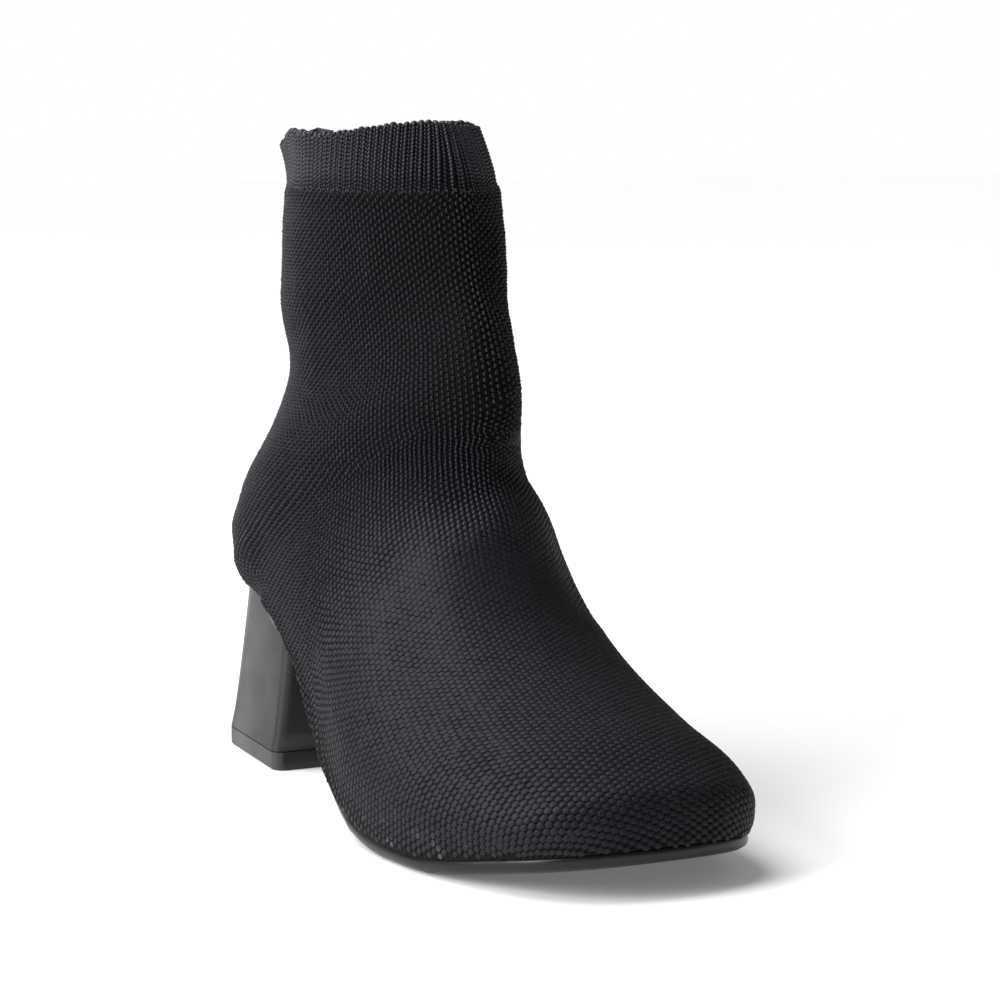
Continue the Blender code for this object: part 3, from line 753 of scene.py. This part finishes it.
# %% The cast-off rim
bump_mesh = bpy.data.meshes.new("bump")
bead = bmesh.new()
bmesh.ops.create_uvsphere(bead, u_segments=10, v_segments=7, radius=1)
bead.to_mesh(bump_mesh)
bead.free()
bump_mesh.shade_smooth()
knit_wall, bump_size = 2.2 * mm, np.array([1.05, 1.25, 1.05]) * mm
bump_rise, bump_rise_spread, bump_lean_spread = 0.10 * mm, 0.18 * mm, 0.15
rim_outs = [skin.hull.find_nearest(Vector(start))[1] for start in rim]
rim_places = [Vector(start) - out * knit_wall / 2 + Vector((0, 0, rng.normal(bump_rise, bump_rise_spread)))
              for start, out in zip(rim, rim_outs)]
rim_sizes = bump_size * rng.normal(1, size_spread, (len(rim), 1))
rim_leans = rng.normal(0, bump_lean_spread, len(rim))
rim_bumps = stitched("cuff_rim", rim_places, [(0, 0, 1)] * len(rim), rim_outs, rim_leans,
                     rim_sizes, np.zeros((len(rim), 2)), mesh=bump_mesh)
print("rim bumps", len(rim))

# %% [markdown]
# ## The sock's wall
# Up to here the skin had no thickness, which made it easy to flatten and to walk on. Now it gets the knit's real wall
# inwards, so that the collar shows an edge and an inside. Over the sole it turns under so tightly that the full wall
# would fold through itself, so it thins out there, as knit pulled over an edge does.

# %% Give the skin its wall
thinned_at_sole = 0.8
wall_share = 1 - thinned_at_sole * share_at_sole(spots(sock_piece.data))
wall_group = sock_piece.vertex_groups.new(name="wall")
for number, share in enumerate(wall_share):
    wall_group.add([number], float(share), "REPLACE")
with_modifier(sock_piece, "SOLIDIFY", thickness=knit_wall, offset=-1, vertex_group="wall")
print("skin with wall", sum(len(face.vertices) - 2 for face in sock_piece.data.polygons), "triangles")

# %% [markdown]
# ## Sole, heel, insole and tab
# These solids already have their true shape, so they are copied with their loose triangles merged, shaded smooth where
# a curve was cut in steps and kept sharp where the real piece has an edge. Only their finish is then left to do.

# %% Smooth copies of the hard pieces
level_angle = math.radians(1)

def smooth_copy(node, name, sharp_angle):
    bm = merged_copy(node)
    bmesh.ops.join_triangles(bm, faces=bm.faces, angle_face_threshold=level_angle, angle_shape_threshold=math.pi)
    piece = new_object(name, mesh_from(bm, name))
    piece.data.shade_smooth()
    piece.data.set_sharp_from_angle(angle=math.radians(sharp_angle))
    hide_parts(node)
    return piece

sole_edge = smooth_copy("outsole", "sole_rubber", 50)
insole_board = smooth_copy("insole", "insole_lining", 40)
heel_block = smooth_copy("heel", "heel_block", 35)
heel_lift = smooth_copy("heel_tip", "heel_lift", 35)
back_tab = smooth_copy("pull_tab", "back_tape", 40)
tape_below_rim = 1.2 * mm
tape_spots = spots(back_tab.data)
rim_lowered(tape_spots, rim_dip + tape_below_rim)
place(back_tab.data, tape_spots)
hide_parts("upper")

# %% [markdown]
# ## Finishes
# All of the boot is black, so it is told apart by gloss and grain alone: matt yarn with dark pinholes, their shade
# painted in, satin moulded rubber, a smooth sprayed heel with fine scuffs, and a dull woven tape.

# %% Knit, with a few pale marks of glue low on the toe
def coordinate(finish, place, axis):
    return finish.node("ShaderNodeSeparateXYZ", {}, {0: place}, "xyz".index(axis))

def pulled_share(finish, place):
    forward = finish.between(coordinate(finish, place, "x"), vamp_start, vamp_full)
    return forward * (1 - finish.between(coordinate(finish, place, "z"), vamp_low, vamp_top))

yarn_black, yarn_lit = (0.0022, 0.0022, 0.0029, 1), (0.0080, 0.0080, 0.0098, 1)
glue_grey, cool_gloss, pulled_matt = (0.10, 0.10, 0.105, 1), (0.84, 0.86, 1.0, 1), 0.26

def knit_finish(name, roughness, gloss):
    finish = Finish(name, Specular_IOR_Level=gloss, Specular_Tint=cool_gloss)
    place = finish.place()
    cloudy = finish.between(finish.noise(place, 9 * mm, 2.0), 0.35, 0.65)
    fibre = finish.noise(finish.stretched(place, (1, 1, 0.35)), 0.35 * mm, 2.0)
    black = finish.blend((fibre * 0.7 + cloudy * 0.3).limit(), yarn_black, yarn_lit)
    low_down = 1 - finish.between(coordinate(finish, place, "z"), 6 * mm, 15 * mm)
    glue = finish.between(finish.noise(place, 5 * mm, 6.0), 0.58, 0.64) * low_down * 0.5
    finish.feed("Base Color", finish.blend(glue, black, glue_grey))
    finish.feed("Roughness", pulled_share(finish, place) * pulled_matt + roughness)
    finish.bump(fibre, 0.10 * mm, 0.6)
    return finish.material

yarn = knit_finish("black_yarn", roughness=0.33, gloss=0.26)
rib_yarn = knit_finish("rib_yarn", roughness=0.38, gloss=0.50)

# %% The ground between the stitches, with its pinholes: the dark inside of the knit, and painted shade in the holes
# Pinholes painted near-black: the dark inside seen through the knit, with painted shade for the depth of the holes.
hole_dark_and_painted_shade = (0.0005, 0.0005, 0.0006, 1)
open_bridge, pulled_bridge = (0.0028, 0.0028, 0.0036, 1), (0.005, 0.005, 0.006, 1)

def ground_finish():
    finish = Finish("knit_ground", Roughness=0.8, Specular_IOR_Level=0.1)
    across, along = coordinate(finish, finish.map(MAP), "x"), coordinate(finish, finish.map(MAP), "y")
    column = (across * (map_side / column_pitch) + map_low[0] / column_pitch) * math.pi
    row = (along * (map_side / row_pitch) + map_low[1] / row_pitch) * (2 * math.pi)
    lattice = column.cosine() * row.cosine()
    bridges = finish.between(lattice, -0.95, -0.2)
    bridge = finish.blend(pulled_share(finish, finish.place()), open_bridge, pulled_bridge)
    # The bridge colour turns to the pinholes' painted shade at the lattice troughs.
    finish.feed("Base Color", finish.blend(bridges, hole_dark_and_painted_shade, bridge))
    finish.bump(bridges, 0.5 * mm)
    return finish.material

ground = ground_finish()
print("knit finishes made")

# %% Rubber, sprayed heel, lift, lining and tape
def moulded_finish(name, colour, light, roughness, grain, depth, **constants):
    finish = Finish(name, **constants)
    place = finish.place()
    cloudy = finish.between(finish.noise(place, 14 * mm, 3.0), 0.3, 0.7)
    pores = finish.noise(place, grain, 4.0)
    scuffs = finish.between(finish.noise(finish.stretched(place, (1, 1, 3)), 16 * mm, 5.0), 0.58, 0.74)
    finish.feed("Base Color", finish.blend((cloudy * 0.8 + scuffs * 0.2).limit(), colour, light))
    finish.feed("Roughness", (cloudy * 0.10 + scuffs * 0.06 + roughness).limit())
    finish.bump(pores, depth, 0.5)
    return finish.material

rubber = moulded_finish(
    "sole_rubber", (0.005, 0.005, 0.0053, 1), (0.009, 0.009, 0.0095, 1),
    roughness=0.30, grain=0.6 * mm, depth=0.03 * mm, Specular_IOR_Level=0.26)
sprayed = moulded_finish(
    "heel_black", (0.007, 0.007, 0.0068, 1), (0.013, 0.013, 0.0126, 1),
    roughness=0.33, grain=0.8 * mm, depth=0.03 * mm, Specular_IOR_Level=0.36)
lift = moulded_finish(
    "lift_grey", (0.016, 0.016, 0.0157, 1), (0.024, 0.024, 0.0235, 1),
    roughness=0.40, grain=0.5 * mm, depth=0.04 * mm)
felt = moulded_finish(
    "lining_felt", (0.006, 0.006, 0.0065, 1), (0.014, 0.014, 0.015, 1),
    roughness=0.90, grain=0.5 * mm, depth=0.15 * mm)
tape = moulded_finish(
    "tape_grey", (0.022, 0.023, 0.025, 1), (0.034, 0.035, 0.038, 1),
    roughness=0.65, grain=0.4 * mm, depth=0.06 * mm)
print("hard finishes made")

# %% Dress the pieces
for piece, finish, slot in (
    (sock_piece, ground, "black_knit"), (knit_leg, yarn, "black_knit"), (knit_foot, yarn, "black_knit"),
    (cuff_rib, rib_yarn, "black_knit"), (rim_bumps, rib_yarn, "black_knit"), (sole_edge, rubber, "dark_sole"),
    (insole_board, felt, "black_lining"), (heel_block, sprayed, "black_heel"), (heel_lift, lift, "black_tip"),
    (back_tab, tape, "grey_tape"),
):
    piece.data.materials.clear()
    piece.data.materials.append(finish)
    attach(piece, "root")
print("pieces dressed")

# %% [markdown]
# ## Floor and light
# A pale floor runs out into a white room, and glows a little, as a backlit sweep does, so that no horizon shows.
# A wide soft sun stands over the boot and a window lamp to its outer side, so that the stitches catch light on one
# side and the sole throws a soft shadow.

# %% Floor
floor_mesh = bmesh.new()
bmesh.ops.create_grid(floor_mesh, x_segments=1, y_segments=1, size=6)
floor = new_object("floor", mesh_from(floor_mesh, "floor"))
paper = Finish("paper", Roughness=0.6, Specular_IOR_Level=0.2,
               Emission_Color=(1, 1, 1, 1), Emission_Strength=0.14)
cloudy_paper = paper.blend(paper.noise(paper.place(), 0.4), (0.86, 0.86, 0.86, 1), (0.90, 0.90, 0.90, 1))
paper.feed("Base Color", cloudy_paper)
floor.data.materials.append(paper.material)
print("floor", round(floor.dimensions.x), "m wide")

# %% Light
def soft_lamp(name, place, target, side, watts):
    lamp = bpy.data.objects.new(name, bpy.data.lights.new(name, "AREA"))
    bpy.context.collection.objects.link(lamp)
    lamp.data.shape, lamp.data.size, lamp.data.energy = "SQUARE", side, watts
    lamp.location = place
    lamp.rotation_mode = "QUATERNION"
    lamp.rotation_quaternion = (Vector(target) - Vector(place)).to_track_quat("-Z", "Y")

soft_lamp("window", place=(0.1, -1.6, 0.8), target=(0.08, 0, 0.08), side=1.0, watts=40)

sun_way, sun_strength, sun_width = Vector((0.30, 0.35, -1)), 2.9, math.radians(42)
sun = bpy.data.objects.new("skylight", bpy.data.lights.new("skylight", "SUN"))
bpy.context.collection.objects.link(sun)
sun.data.energy, sun.data.angle = sun_strength, sun_width
sun.rotation_mode = "QUATERNION"
sun.rotation_quaternion = sun_way.to_track_quat("-Z", "Y")
print("window lamp and a sun", round(math.degrees(sun_width)), "degrees wide")

# %% A white room that lights the boot less than it shows
lit, shown = 0.20, 1.0
world = bpy.data.worlds.new("room")
bpy.context.scene.world = world
world.use_nodes = True
room = world.node_tree
seen = room.nodes.new("ShaderNodeLightPath")
brightness = room.nodes.new("ShaderNodeMapRange")
brightness.inputs["To Min"].default_value = lit
brightness.inputs["To Max"].default_value = shown
room.links.new(seen.outputs["Is Camera Ray"], brightness.inputs["Value"])
room.links.new(brightness.outputs["Result"], room.nodes["Background"].inputs["Strength"])
room.nodes["Background"].inputs["Color"].default_value = (1, 1, 1, 1)
print("room lights with", lit, "and shows as", shown)
